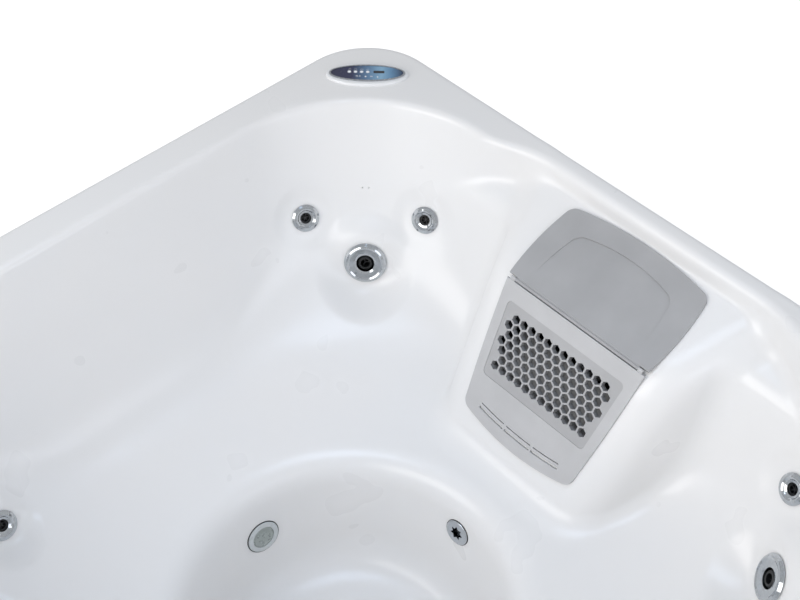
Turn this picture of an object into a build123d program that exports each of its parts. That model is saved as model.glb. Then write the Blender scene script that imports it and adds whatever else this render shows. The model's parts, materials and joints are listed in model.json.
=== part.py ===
from build123d import *
import os
from math import atan2, cos, degrees, radians, sin, sqrt, tan

os.makedirs("parts", exist_ok=True)

# Hot tub, millimetres. Origin at the bottom centre, +Z up. The skimmer is on the +X side
# and the control panel is on the rim at the +X +Y corner.

# Overall sizes
side = 1850.0
rim_height = 850.0
rim_corner_radius = 180.0
rim_skirt = 52.0
rim_edge_round = 16.0
skin = 6.0

# Bowl wall: depth below the rim, half width and corner radius of each level
bowl_levels = [
    (0.0, 832.0, 372.0),
    (250.0, 752.0, 345.0),
    (355.0, 708.0, 385.0),
    (420.0, 668.0, 450.0),
    (465.0, 615.0, 500.0),
    (490.0, 545.0, 480.0),
    (500.0, 490.0, 450.0),
]
footwell_top_radius = 350.0
footwell_floor_radius = 285.0
footwell_floor_height = 60.0
footwell_round = 45.0
footwell_lip = 14.0

# Skimmer pier: a block of the shell between two corner seats
ridge_x = 660.0
ridge_depth = 134.0
face_lean = 30.0
shelf_slope = 22.3
shelf_back_x = 872.0
shelf_half_width = 430.0
shelf_corner = 120.0
pier_half_width = 245.0
pier_flare = 0.45
pier_draft = 0.15
pier_edge_round = 30.0

# Skimmer fittings
plate_thickness = 6.0
plate_edge_round = 1.0
lid_thickness = 5.7
lid_length = 205.0
lid_front_width = 386.0
lid_back_width = 372.0
lid_side_bow = 8.0
lid_back_bow = 20.0
lid_corner = 26.0
pan_start = 37.0
pan_length = 158.0
pan_front_width = 290.0
pan_back_width = 258.0
pan_side_bow = 4.0
pan_back_bow = 20.0
pan_corner = 34.0
pan_depth = 3.6
face_length = 316.0
face_top_width = 382.0
face_bottom_width = 314.0
face_side_bow = 3.0
face_bottom_bow = 24.0
face_corner = 24.0
grille_top = 45.0
grille_height = 182.0
grille_top_width = 328.0
grille_bottom_width = 292.0
grille_corner = 12.0
grille_clearance = 0.3
grille_sink = 1.0
grille_depth = 10.0
hex_pitch = 23.0
hex_web = 4.0
hex_border = 5.0
slot_rows = {288.0: 2.4, 299.0: 6.0}
slot_reach = 118.0
slot_bow = 9.0
slot_rib = 0.02
plate_start = 4.5
hinge_pin_radius = 1.5
hinge_barrel_radius = 3.8
hinge_half_length = 170.0
hinge_lug = 12.0
hinge_lug_gap = 0.5
hinge_lift = 2.8
hinge_clearance = 0.05
seat_clearance = 0.3
window_margin = 14.0
shelf_window_start = 24.0
shelf_window_length = 150.0
shelf_window_width = 300.0
housing_half_width = 176.0
housing_floor_depth = 372.0
housing_back_x = 860.0
housing_wall = 5.0
filter_radius = 58.0
filter_height = 190.0
filter_x = 785.0
filter_bore = 24.0
filter_pleats = 36
filter_pleat_depth = 9.0
spigot_radius = 23.9
spigot_height = 16.0
weir_length = 118.0
weir_width = 320.0
weir_thickness = 4.0
weir_start = 212.0
weir_behind = 26.0
weir_lay_back = 52.0
weir_boss_radius = 6.0
weir_stub = 4.5
weir_pin_radius = 3.0

# Seats with jets: heading of each seat's diagonal from the middle
seats = {"far": 45.0, "left": 135.0, "near": 225.0, "right": 315.0}
small_flange_radius = 33.0
small_barrel_radius = 25.0
small_spigot_radius = 20.0
small_eye_radius = 13.5
small_face_height = 8.0
small_barrel_length = 62.0
small_jet_depth = 252.0
small_jet_spread = 143.0
small_jet_lean = 28.0
small_jet_turn = 24.0
large_flange_radius = 51.5
large_barrel_radius = 40.0
large_spigot_radius = 33.0
large_eye_radius = 22.0
large_face_height = 11.0
large_barrel_length = 76.0
large_jet_depth = 354.0
large_jet_lean = 20.0
hip_jet_depth = 425.0
hip_jet_along = 430.0
hip_jet_lean = 30.0
hip_jet_turn = 83.0
nozzle_ball_radius = 21.5
nozzle_bore = 11.0
nozzle_vanes = 3
nozzle_clearance = 0.5
spigot_clearance = 0.06
spigot_length = 20.0
jet_hole_clearance = 1.0
jet_pad_margin = 6.0
pad_thickness = 28.0
pad_front = 34.0
nut_height = 12.0
nut_margin = 10.0
barrel_end = 8.0
inlet_radius = 9.0
inlet_reach = 16.0

# Footwell fittings, on its sloping wall
star_radius = 31.0
star_depth = 588.0
star_angle = 0.5
star_teeth = 8
star_points = 7
star_point_radius = 17.5
star_notch_radius = 11.0
star_cover = 2.5
star_rotor_radius = 19.0
star_hub_radius = 5.0
star_axle_radius = 3.0
light_radius = 39.5
light_depth = 635.0
light_angle = 86.0
suction_radius = 58.0
suction_depth = 680.0
suction_angles = (222.0, 258.0)
suction_slots = 12
fitting_reach = 30.0
fitting_flange = 4.0
fitting_flange_lap = 8.0
fitting_pad_margin = 3.0
fitting_wall = 4.0
lens_radius = 27.0
lens_thickness = 3.0

# Control panel, on the rim corner
panel_rho = 1115.0
panel_length = 196.0
panel_width = 84.0
panel_base_height = 6.0
panel_trim_length = 180.0
panel_trim_width = 62.0
panel_trim_band = 4.0
panel_trim_height = 2.4
overlay_thickness = 1.4
panel_box_length = 140.0
panel_box_width = 40.0
panel_box_depth = 26.0
panel_box_clearance = 1.0
display_size = (26.0, 9.5)
display_place = (28.0, 4.0)
button_radius = 4.2
button_travel = 0.8
button_head = 0.6
button_stem_radius = 2.5
button_stem_length = 6.0
button_places = {"jets": -42.0, "light": -27.5, "warmer": -13.0, "cooler": 1.5}
button_row = 4.0

# Cabinet and frame
panel_thickness = 9.0
panel_inset = 14.0
cabinet_bottom = 20.0
cabinet_gap = 12.0
groove_count = 6
groove_width = 6.0
groove_depth = 2.0
trim_gap = 1.0
tray_floor = 8.0
tray_height = 62.0
tray_wall = 5.0
rail_width = 18.0
rail_height = 40.0
rail_half_length = 720.0
stud_width = 60.0
stud_places = (-690.0, -230.0, 230.0, 690.0)
screw_head_radius = 4.5
screw_head_height = 2.0
screw_shank_radius = 2.0
screw_hole_clearance = 0.2
screw_places = (-650.0, -217.0, 217.0, 650.0)
screw_low = 45.0
screw_below_rim = 35.0
footwell_pad_radius = 230.0

# Equipment under the near corner seat
pump_x = -640.0
pump_y = -560.0
pump_axis_height = 125.0
motor_radius = 78.0
motor_length = 210.0
motor_fins = 16
motor_fin_depth = 4.0
motor_foot_width = 120.0
wet_end_radius = 86.0
wet_end_length = 64.0
wet_end_wall = 7.0
pump_inlet_length = 24.0
pump_outlet_side = 50.0
pump_outlet_start = 60.0
pump_outlet_end = 105.0
impeller_radius = 62.0
impeller_thickness = 22.0
impeller_vanes = 6
shaft_radius = 8.0
pipe_radius = 24.0
pipe_bend = 60.0
pipe_wall = 3.0
pipe_top = 300.0
heater_radius = 34.0
heater_length = 360.0
heater_x = -120.0
heater_y = -700.0
heater_height = 150.0
heater_collar = 8.0
box_size = (260.0, 90.0, 190.0)
box_x = -120.0
box_y = -810.0
drain_x = -640.0
drain_height = 110.0
drain_radius = 13.0
drain_flange_radius = 26.0
drain_flange = 3.0
drain_length = 12.0
drain_tail = 40.0
drain_cap_radius = 17.0
drain_cap_end = 1.6
drain_cap_grips = 12
drain_bore = 8.0
gland_x = 600.0
gland_radius = 16.0
gland_bore = 7.0
gland_reach = 10.0

half = side / 2
corner_centre = half - rim_corner_radius
panel_outer = half - panel_inset
panel_inner = panel_outer - panel_thickness
rail_outer = panel_inner - tray_wall
rail_inner = rail_outer - rail_width
rim_under = rim_height - skin
cabinet_top = rim_height - cabinet_gap
screw_heights = (screw_low, rim_height - screw_below_rim)
seat_depth = bowl_levels[-1][0]
on_base = (Align.CENTER, Align.CENTER, Align.MIN)


def at_depth(depth):
    return rim_height - depth


def prism(half_width, radius, bottom, top):
    outline = RectangleRounded(2 * half_width, 2 * half_width, radius)
    return Pos(0, 0, bottom) * extrude(outline, top - bottom)


def disc(radius, bottom, top):
    return Pos(0, 0, bottom) * Cylinder(radius, top - bottom, align=on_base)


def ring(outer, inner, bottom, top):
    return disc(outer, bottom, top) - disc(inner, bottom - 1, top + 1)


def block(x0, x1, y0, y1, z0, z1):
    return Pos(x0, y0, z0) * Box(x1 - x0, y1 - y0, z1 - z0, align=(Align.MIN,) * 3)


def slab(outline, bottom, top):
    return Pos(0, 0, bottom) * extrude(outline, top - bottom, dir=(0, 0, 1))


def write(name, *shapes):
    solids = [solid for shape in shapes for solid in shape.solids()]
    shape = solids[0] if len(solids) == 1 else Compound(children=solids)
    shape.label = name
    export_step(shape, f"parts/{name}.step")


# Places on the shell


def bowl_size(depth):
    """Half width and corner radius of the bowl at a depth below the rim."""
    for (d0, h0, r0), (d1, h1, r1) in zip(bowl_levels, bowl_levels[1:]):
        if d0 <= depth <= d1:
            share = (depth - d0) / (d1 - d0)
            return h0 + (h1 - h0) * share, r0 + (r1 - r0) * share
    raise ValueError("depth is outside the bowl")


def looking(x, y, z, heading, rise):
    """A frame whose +Z looks along a heading in plan and up by rise, in degrees."""
    turn, up = radians(heading), radians(rise)
    out = (cos(turn) * cos(up), sin(turn) * cos(up), sin(up))
    return Plane(origin=(x, y, z), x_dir=(-sin(turn), cos(turn), 0), z_dir=out)


def corner_jet(seat_angle, spread, depth, turn, rise):
    """A jet on a seat's rounded corner, spread to one side of the seat's diagonal."""
    half_width, radius = bowl_size(depth)
    along = (half_width - radius) * sqrt(2) + sqrt(radius**2 - spread**2)
    a = radians(seat_angle)
    x = along * cos(a) - spread * sin(a)
    y = along * sin(a) + spread * cos(a)
    return looking(x, y, at_depth(depth), seat_angle + 180 + turn, rise)


def hip_jet(swap):
    """A jet low beside the left seat, on the +Y wall, or swapped onto the -X wall."""
    half_width, radius = bowl_size(hip_jet_depth)
    middle = half_width - radius
    across = middle + sqrt(radius**2 - (hip_jet_along - middle)**2)
    z = at_depth(hip_jet_depth)
    if swap:
        return looking(-across, hip_jet_along, z, hip_jet_turn - 90, hip_jet_lean)
    return looking(-hip_jet_along, across, z, -hip_jet_turn, hip_jet_lean)


def footwell_place(depth, angle):
    drop = at_depth(seat_depth) - footwell_floor_height
    slope = (footwell_top_radius - footwell_floor_radius) / drop
    radius = footwell_top_radius - slope * (depth - seat_depth)
    a = radians(angle)
    rise = degrees(atan2(slope, 1))
    return looking(radius * cos(a), radius * sin(a), at_depth(depth), angle + 180, rise)


small_jets = {}
large_jets = {}
for seat, seat_angle in seats.items():
    for name, sign in (("a", 1), ("b", -1)):
        small_jets[f"{seat}_{name}"] = corner_jet(
            seat_angle, sign * small_jet_spread, small_jet_depth,
            sign * small_jet_turn, small_jet_lean)
    large_jets[seat] = corner_jet(seat_angle, 0, large_jet_depth, 0, large_jet_lean)
small_jets["hip_a"] = hip_jet(False)
small_jets["hip_b"] = hip_jet(True)
star_place = footwell_place(star_depth, star_angle)
light_place = footwell_place(light_depth, light_angle)
suction_places = [footwell_place(suction_depth, angle) for angle in suction_angles]

ridge = (ridge_x, 0, at_depth(ridge_depth))
face_angle, shelf_angle = radians(face_lean), radians(shelf_slope)
# On the face, local Y runs down the face; on the shelf it runs down towards the ridge
face_frame = Plane(origin=ridge, x_dir=(0, 1, 0), z_dir=(-cos(face_angle), 0, sin(face_angle)))
shelf_frame = Plane(origin=ridge, x_dir=(0, 1, 0), z_dir=(-sin(shelf_angle), 0, cos(shelf_angle)))
side_frame = Plane(origin=(0, -panel_outer, 0), x_dir=(1, 0, 0), z_dir=(0, -1, 0))
weir_hinge = Plane(origin=(face_frame * Pos(0, weir_start, -weir_behind)).position,
                   x_dir=(0, 1, 0), z_dir=(0, 0, 1))
panel_frame = Plane(origin=(panel_rho / sqrt(2), panel_rho / sqrt(2), rim_height),
                    x_dir=(1, -1, 0), z_dir=(0, 0, 1))


# Shell


def bowl(grow):
    sections = []
    for depth, half_width, radius in bowl_levels:
        drop = grow if depth > 0 else 0
        width = 2 * (half_width + grow)
        sections.append(Pos(0, 0, at_depth(depth) - drop) * RectangleRounded(width, width, radius + grow))
    return loft(sections, ruled=True)


def footwell(grow):
    drop = at_depth(seat_depth) - footwell_floor_height
    top = drop + 1
    top_radius = footwell_floor_radius + (footwell_top_radius - footwell_floor_radius) * top / drop
    outline = make_face(Polyline(
        (0, -grow), (footwell_floor_radius + grow, -grow), (top_radius + grow, top), (0, top),
        close=True))
    corner = outline.vertices().sort_by(Axis.Y)[:2].sort_by(Axis.X)[-1]
    outline = fillet(corner, footwell_round + grow)
    return Pos(0, 0, footwell_floor_height) * revolve(Plane.XZ * outline, Axis.Z)


def footwell_lip_cut():
    """The bevelled edge where the seats roll over into the footwell."""
    z, r = at_depth(seat_depth), footwell_top_radius
    cut = make_face(Polyline(
        (r - footwell_lip, z + 1), (r + footwell_lip, z + 1), (r + footwell_lip, z),
        (r - footwell_lip, z - 2 * footwell_lip), close=True))
    return revolve(Plane.XZ * cut, Axis.Z)


def pier(inset):
    """The block that carries the skimmer, made smaller all round by inset."""
    def level(depth):
        def width_at(x):
            flare = pier_flare * (x - ridge_x) + pier_draft * (depth - ridge_depth)
            return pier_half_width + flare - inset
        near, far = ridge_x - 300, half + 20
        outline = Polyline((near, -width_at(near)), (far, -width_at(far)),
                           (far, width_at(far)), (near, width_at(near)), close=True)
        return Pos(0, 0, at_depth(depth)) * make_face(outline)

    body = loft([level(seat_depth + 30), level(0)], ruled=True)
    body = split(body, face_frame.offset(-inset), keep=Keep.BOTTOM)
    body = split(body, shelf_frame.offset(-inset), keep=Keep.BOTTOM)
    front = body.faces().filter_by(lambda f: abs(f.normal_at().dot(face_frame.z_dir)) > 0.999)[0]
    edges = [e for e in front.edges() if e.center().Z > at_depth(seat_depth)]
    return fillet(edges, pier_edge_round - inset)


def recess(grow):
    """The lowered stretch of rim behind and beside the skimmer lid."""
    room = block(ridge_x, shelf_back_x + grow, -shelf_half_width - grow, shelf_half_width + grow,
                 at_depth(ridge_depth) - 20, rim_height)
    upright = room.edges().filter_by(Axis.Z).sort_by(Axis.X)[-2:]
    room = fillet(upright, shelf_corner + grow)
    return split(room, shelf_frame.offset(-grow), keep=Keep.TOP)


def rim():
    outer = prism(half, rim_corner_radius, rim_height - rim_skirt, rim_height)
    outer = fillet(outer.faces().sort_by(Axis.Z)[-1].edges(), rim_edge_round)
    inner = prism(half - skin, rim_corner_radius - skin, rim_height - rim_skirt - 1, rim_under)
    inner = fillet(inner.faces().sort_by(Axis.Z)[-1].edges(), rim_edge_round - skin)
    return outer - inner


def shell_fittings():
    """Every round fitting in the shell: its frame, pad radius and hole radius."""
    rows = []
    for place in small_jets.values():
        rows.append((place, small_flange_radius + jet_pad_margin, small_barrel_radius))
    for place in large_jets.values():
        rows.append((place, large_flange_radius + jet_pad_margin, large_barrel_radius))
    for place, radius in [(star_place, star_radius), (light_place, light_radius)]:
        rows.append((place, radius + fitting_pad_margin, radius - fitting_flange_lap))
    for place in suction_places:
        rows.append((place, suction_radius + fitting_pad_margin, suction_radius - fitting_flange_lap))
    return rows


def acrylic_shell():
    outer = bowl(skin) + recess(skin) - pier(skin) + footwell(skin)
    lip_z = at_depth(seat_depth)
    outer += disc(footwell_top_radius + footwell_lip + skin, lip_z - 3 * footwell_lip, lip_z)
    cavity = bowl(0) + recess(0) - pier(0) + footwell(0) + footwell_lip_cut()
    for place, pad, _ in shell_fittings():
        outer += place * disc(pad + skin, -pad_thickness, pad_front)
        cavity += place * disc(pad, 0, pad_front + skin)
    shell = rim() + outer - cavity
    for place, pad, hole in shell_fittings():
        shell += place * disc(pad, -pad_thickness, 0)
        shell -= place * disc(hole + jet_hole_clearance, -pad_thickness - skin, 1)
    shell -= face_frame * slab(grille_outline(window_margin), -pad_thickness, 1)
    shell -= shelf_frame * shelf_window(0)
    room = 2 * panel_box_clearance
    shell -= panel_frame * slab(
        SlotOverall(panel_box_length + room, panel_box_width + room), -skin - 1, 1)
    return shell.solids().sort_by(SortBy.VOLUME)[-1]


# Skimmer


def tapered(top, top_width, bottom, bottom_width, corner):
    """An outline on the face, from one distance below the ridge to another."""
    outline = make_face(Polyline(
        (-top_width / 2, top), (top_width / 2, top),
        (bottom_width / 2, bottom), (-bottom_width / 2, bottom), close=True))
    return fillet(outline.vertices(), corner)


def grille_outline(grow):
    return tapered(grille_top - grow, grille_top_width + 2 * grow,
                   grille_top + grille_height + grow, grille_bottom_width + 2 * grow,
                   grille_corner + max(grow, 0))


def shelf_window(grow):
    length = shelf_window_length + 2 * grow
    middle = -(shelf_window_start + shelf_window_length / 2)
    return Pos(0, middle, 0) * slab(
        RectangleRounded(shelf_window_width + 2 * grow, length, grille_corner), -pad_thickness, 1)


hinge_rise = radians((face_lean + 90 - shelf_slope) / 2)
hinge_frame = Plane(
    origin=(ridge_x - hinge_lift * cos(hinge_rise), 0,
            at_depth(ridge_depth) + hinge_lift * sin(hinge_rise)),
    x_dir=(0, 1, 0), z_dir=(0, 0, 1))
hinge_end = hinge_half_length + hinge_lug_gap + hinge_lug


def along_hinge(shape):
    return hinge_frame * Rot(0, 90, 0) * shape


def bowed(near, near_width, far, far_width, side_bow, far_bow, corner):
    """An outline with a straight near edge, bowed sides and a bowed, rounded far edge."""
    a, b = near_width / 2, far_width / 2
    middle, half_width = (near + far) / 2, (a + b) / 2 + side_bow
    outline = make_face([
        Line((-a, near), (a, near)),
        ThreePointArc((a, near), (half_width, middle), (b, far)),
        ThreePointArc((b, far), (0, far + far_bow), (-b, far)),
        ThreePointArc((-b, far), (-half_width, middle), (-a, near))])
    far_corners = [v for v in outline.vertices() if abs(v.Y - far) < 1]
    return fillet(far_corners, corner)


def rounded_plate(outline, bottom, top):
    plate = slab(outline, bottom, top)
    return fillet(plate.faces().sort_by(Axis.Z)[-1].edges(), plate_edge_round)


def face_slots():
    """Two curved rows of three slots low on the face."""
    slots = []
    for row, width in slot_rows.items():
        arc = ThreePointArc((-slot_reach, row), (0, row + slot_bow), (slot_reach, row))
        for third in range(3):
            part = arc.trim(third / 3 + slot_rib, (third + 1) / 3 - slot_rib)
            slots.append(slab(SlotArc(part, width), -1, plate_thickness + 1))
    return slots


def skimmer_faceplate():
    outline = bowed(plate_start, face_top_width, face_length, face_bottom_width,
                    face_side_bow, face_bottom_bow, face_corner)
    plate = rounded_plate(outline, 0, plate_thickness)
    plate -= slab(grille_outline(0), -1, plate_thickness + 1)
    plate -= face_slots()
    plate = face_frame * plate
    inner, outer = hinge_half_length + hinge_lug_gap, hinge_end
    for y0, y1 in ((-outer, -inner), (inner, outer)):
        plate += face_frame * block(y0, y1, 0, plate_start + 1, seat_clearance, plate_thickness - 1)
        plate += along_hinge(disc(hinge_barrel_radius, y0, y1))
    return plate - along_hinge(disc(hinge_pin_radius + hinge_clearance, -outer - 1, outer + 1))


def lid_pan():
    """What is cut from the lid for its shallow sloping recess."""
    top = seat_clearance + lid_thickness
    outline = bowed(-pan_start, pan_front_width, -pan_length, pan_back_width,
                    pan_side_bow, -pan_back_bow, pan_corner)
    slope = pan_depth / (pan_length + pan_back_bow - pan_start)
    floor = Plane(origin=(0, -pan_start, top), z_dir=(0, -slope, 1))
    return split(slab(outline, 0, top + 1), floor, keep=Keep.TOP)


def skimmer_lid():
    outline = bowed(-plate_start, lid_front_width, -lid_length, lid_back_width,
                    lid_side_bow, -lid_back_bow, lid_corner)
    lid = rounded_plate(outline, seat_clearance, seat_clearance + lid_thickness)
    lid = lid - lid_pan()
    reach = hinge_half_length
    lid += block(-reach, reach, -plate_start - 1, 0, seat_clearance, seat_clearance + lid_thickness - 1)
    lid = shelf_frame * lid + along_hinge(disc(hinge_barrel_radius, -reach, reach))
    return lid - along_hinge(disc(hinge_pin_radius + hinge_clearance, -reach - 1, reach + 1))


def hinge_pin():
    return along_hinge(disc(hinge_pin_radius, -hinge_end, hinge_end))


def hex_grille():
    panel = slab(grille_outline(-grille_clearance), -grille_depth, plate_thickness - grille_sink)
    across = hex_pitch - hex_web
    rise = hex_pitch * sqrt(3) / 2
    rows = int(grille_height / rise) + 1
    holes = []
    inner = grille_outline(-grille_clearance - hex_border)
    for row in range(rows):
        y = grille_top + (row + 0.5) * rise
        shift = hex_pitch / 2 if row % 2 else 0
        for column in range(-8, 9):
            cell = Pos(column * hex_pitch + shift, y) * RegularPolygon(
                across / 2, 6, major_radius=False, rotation=30)
            corners = cell.vertices()
            if all(inner.is_inside(corner.center()) for corner in corners):
                holes.append(slab(cell, -grille_depth - 1, plate_thickness))
    return face_frame * (panel - holes)


def housing_outline(inset):
    """Side view of the skimmer's body: behind the face and under the shelf."""
    def face_x(z):
        return ridge_x - (ridge[2] - z) * tan(face_angle)

    def shelf_z(x):
        return ridge[2] + (x - ridge_x) * tan(shelf_angle)

    gap = skin + seat_clearance + inset
    bottom = at_depth(housing_floor_depth) + inset
    back = housing_back_x - inset
    face_gap, shelf_gap = gap / cos(face_angle), gap / cos(shelf_angle)
    steep, gentle = tan(face_angle), tan(shelf_angle)
    crest_x = ridge_x + (face_gap - steep * shelf_gap) / (1 - steep * gentle)
    crest_z = shelf_z(crest_x) - shelf_gap
    outline = make_face(Polyline(
        (face_x(bottom) + face_gap, bottom), (back, bottom),
        (back, shelf_z(back) - shelf_gap), (crest_x, crest_z), close=True))
    crest = outline.vertices().sort_by_distance((crest_x, crest_z, 0))[0]
    return fillet(crest, pier_edge_round - gap)


def skimmer_housing():
    def body(inset):
        outline = Plane.XZ * housing_outline(inset)
        half_width = housing_half_width - inset
        return Pos(0, half_width, 0) * extrude(outline, 2 * half_width, dir=(0, -1, 0))
    housing = body(0) - body(housing_wall)
    housing -= face_frame * slab(grille_outline(window_margin - 4), -pad_thickness, 0)
    housing -= shelf_frame * shelf_window(-2)
    spigot_z = at_depth(housing_floor_depth) + housing_wall
    spigot = ring(spigot_radius, spigot_radius - 4, 0, spigot_height)
    housing += Pos(filter_x, 0, spigot_z) * spigot
    housing -= Pos(filter_x, 0, spigot_z) * disc(spigot_radius - 4, -housing_wall - 1, 1)
    reach = housing_half_width + 1
    return housing - weir_hinge * Rot(0, 90, 0) * disc(weir_pin_radius + hinge_clearance, -reach, reach)


def weir_flap():
    """Lies back on its stop when the tub is empty, and floats up towards the grille."""
    tilt = radians(face_lean + weir_lay_back)
    flat = Plane(origin=weir_hinge.origin, x_dir=(0, 1, 0), z_dir=(-cos(tilt), 0, sin(tilt)))
    leaf = block(-weir_width / 2, weir_width / 2, -weir_length, 0, -weir_thickness / 2, weir_thickness / 2)
    boss = Rot(0, 90, 0) * disc(weir_boss_radius, -weir_width / 2, weir_width / 2)
    reach = housing_half_width - housing_wall + weir_stub
    stubs = Rot(0, 90, 0) * disc(weir_pin_radius, -reach, reach)
    return flat * (leaf + boss + stubs)


def filter_cartridge():
    """Pleated cartridge that stands on the spigot and turns to lock."""
    bottom = at_depth(housing_floor_depth) + housing_wall + seat_clearance
    core_radius = filter_radius - filter_pleat_depth
    body = disc(core_radius, 10, filter_height - 10)
    step = 360 / filter_pleats
    pleat = block(core_radius - 3, filter_radius - 2, -1.6, 1.6, 10, filter_height - 10)
    body += [Rot(0, 0, step * index) * pleat for index in range(filter_pleats)]
    body += disc(filter_radius, 0, 10) + disc(filter_radius, filter_height - 10, filter_height)
    body += ring(26, 18, filter_height, filter_height + 14)
    body -= disc(filter_bore, -1, filter_height - 20)
    return Pos(filter_x, 0, bottom) * body


# Jets


def jet_body(place, flange, barrel, spigot, bore, length):
    """The barrel through the shell, with a flange on the pad and a closed end."""
    body = disc(barrel, -length, 0) + disc(flange - 3, 0, 2)
    body -= disc(spigot + spigot_clearance, -spigot_length - 1, 3)
    body -= disc(bore, -length + barrel_end, 1)
    inlet = Pos(0, 0, inlet_radius + 2 - length) * Rot(0, 90, 0) * ring(
        inlet_radius, inlet_radius - 2.5, barrel - 2, barrel + inlet_reach)
    return place * (body + inlet)


def jet_nut(place, barrel):
    outline = RegularPolygon(barrel + nut_margin, 8) - Circle(barrel)
    return place * slab(outline, -pad_thickness - nut_height, -pad_thickness)


def jet_face(place, flange, spigot, eye, height):
    """The bright ring that turns to open and shut the jet."""
    profile = make_face(Polyline(
        (eye, -spigot_length), (spigot, -spigot_length), (spigot, 2 + seat_clearance),
        (flange, 2 + seat_clearance), (flange, 4), (flange - 5, height - 1.5),
        (flange - 9, height), (flange - 13, height - 2), (eye + 5, height - 3.5), (eye, height - 5),
        close=True))
    return place * revolve(Plane.XZ * profile, Axis.Z)


def small_nozzle(place):
    """Dark fixed nozzle seen through the small jet's ring."""
    outer = small_eye_radius - nozzle_clearance
    tube = disc(outer, -small_barrel_length + barrel_end, -2) - disc(outer - 3, -14, 0)
    vanes = [Rot(0, 0, 60 * index) * block(-outer + 1, outer - 1, -0.8, 0.8, -14, -5) for index in range(3)]
    return place * (tube + vanes)


def large_nozzle(place):
    """Ball nozzle that swivels inside the large jet's ring."""
    ball = Sphere(nozzle_ball_radius)
    ball -= disc(nozzle_ball_radius + 1, 15, 30) + disc(nozzle_ball_radius + 1, -30, -15)
    ball -= disc(nozzle_bore, -20, 20)
    spokes = [Rot(0, 0, 120 * index) * block(0, nozzle_bore + 1, -1, 1, -6, 6)
              for index in range(nozzle_vanes)]
    return place * Pos(0, 0, -10) * (ball + spokes)


# Footwell fittings


def fitting_body(radius):
    """A flanged cup through the footwell wall."""
    barrel = radius - fitting_flange_lap
    body = disc(radius, 0, fitting_flange) + disc(barrel, -fitting_reach, 0)
    return body - disc(barrel - fitting_wall, -fitting_reach + fitting_wall, fitting_flange + 1)


def star_jet_housing():
    """Cup with a rounded ring, closed in front but for a star shaped opening."""
    body = fitting_body(star_radius)
    barrel = star_radius - fitting_flange_lap
    body += disc(barrel - 1, fitting_flange - star_cover, fitting_flange)
    body = fillet(body.faces().sort_by(Axis.Z)[-1].edges(), fitting_flange - 1.5)
    points = []
    for index in range(2 * star_points):
        radius = star_notch_radius if index % 2 else star_point_radius
        turn = 180 / star_points * index
        points.append((radius * cos(radians(turn)), radius * sin(radians(turn))))
    body -= slab(make_face(Polyline(*points, close=True)), 0, fitting_flange + 1)
    axle = disc(star_axle_radius, -fitting_reach + fitting_wall - 1, -6)
    return star_place * (body + axle)


def star_jet_rotor():
    """Spinning star that chops the stream."""
    hub = disc(star_hub_radius, -16, -4)
    teeth = []
    for index in range(star_teeth):
        blade = make_face(Polyline((3, -3), (star_rotor_radius - 1.2, -0.8),
                                   (star_rotor_radius - 1.2, 0.8), (3, 3), close=True))
        teeth.append(Rot(0, 0, 360 / star_teeth * index) * slab(blade, -14, -6))
    bore = disc(star_axle_radius + hinge_clearance, -17, -5.5)
    return star_place * (hub + teeth - bore)


def light_housing():
    """Cup whose broad ring holds the lens."""
    barrel = light_radius - fitting_flange_lap
    body = disc(light_radius, 0, fitting_flange) + disc(barrel, -fitting_reach, 0)
    body = fillet(body.faces().sort_by(Axis.Z)[-1].edges(), fitting_flange - 1.5)
    body -= disc(lens_radius + seat_clearance, 0, fitting_flange + 1)
    return light_place * (body - disc(lens_radius - 2, -fitting_reach + fitting_wall, 1))


def light_lens():
    """Frosted lens, a little below the ring around it."""
    lens = disc(lens_radius, seat_clearance, lens_thickness)
    lens = fillet(lens.faces().sort_by(Axis.Z)[-1].edges(), lens_thickness * 0.6)
    return light_place * lens


def suction_cover(place):
    """Slotted safety cover over a suction outlet."""
    barrel = suction_radius - fitting_flange_lap
    cover = disc(suction_radius, 0, 12)
    cover = fillet(cover.faces().sort_by(Axis.Z)[-1].edges(), 7)
    cover += disc(barrel, -fitting_reach, 0)
    cover -= disc(barrel - fitting_wall, -fitting_reach - 1, 8)
    slot = Pos(suction_radius * 0.55, 0, 0) * slab(SlotOverall(34, 5), 6, 14)
    cover -= [Rot(0, 0, 360 / suction_slots * index) * slot for index in range(suction_slots)]
    return place * cover


# Control panel


def panel_base():
    base = slab(Ellipse(panel_length / 2, panel_width / 2), 0, panel_base_height)
    base = fillet(base.faces().sort_by(Axis.Z)[-1].edges(), panel_base_height - 1.5)
    box = slab(SlotOverall(panel_box_length, panel_box_width), -panel_box_depth, 0)
    base += box
    for along in button_places.values():
        hole = Pos(along, button_row, 0) * disc(button_stem_radius + spigot_clearance,
                                                panel_base_height - button_stem_length - 3, 99)
        base -= hole
    return panel_frame * base


def panel_trim():
    outer = Ellipse(panel_trim_length / 2, panel_trim_width / 2)
    inner = Ellipse(panel_trim_length / 2 - panel_trim_band, panel_trim_width / 2 - panel_trim_band)
    return panel_frame * slab(outer - inner, panel_base_height, panel_base_height + panel_trim_height)


def panel_overlay():
    band = panel_trim_band + seat_clearance
    plate = slab(Ellipse(panel_trim_length / 2 - band, panel_trim_width / 2 - band),
                 panel_base_height, panel_base_height + overlay_thickness)
    x, y = display_place
    plate -= Pos(x, y) * slab(RectangleRounded(*display_size, 2), 0, 20)
    for along in button_places.values():
        plate -= Pos(along, button_row) * disc(button_radius + seat_clearance, 0, 20)
    return panel_frame * plate


def panel_display():
    x, y = display_place
    length, width = display_size
    glass = RectangleRounded(length - 2 * seat_clearance, width - 2 * seat_clearance, 1.8)
    return panel_frame * Pos(x, y) * slab(glass, panel_base_height, panel_base_height + overlay_thickness)


def panel_button(along):
    """A key cap on a stem that slides in the panel's base."""
    under = panel_base_height + button_travel + seat_clearance
    cap = disc(button_radius, under, under + button_head)
    stem = disc(button_stem_radius, panel_base_height - button_stem_length, under)
    return panel_frame * Pos(along, button_row) * (cap + stem)


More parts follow.
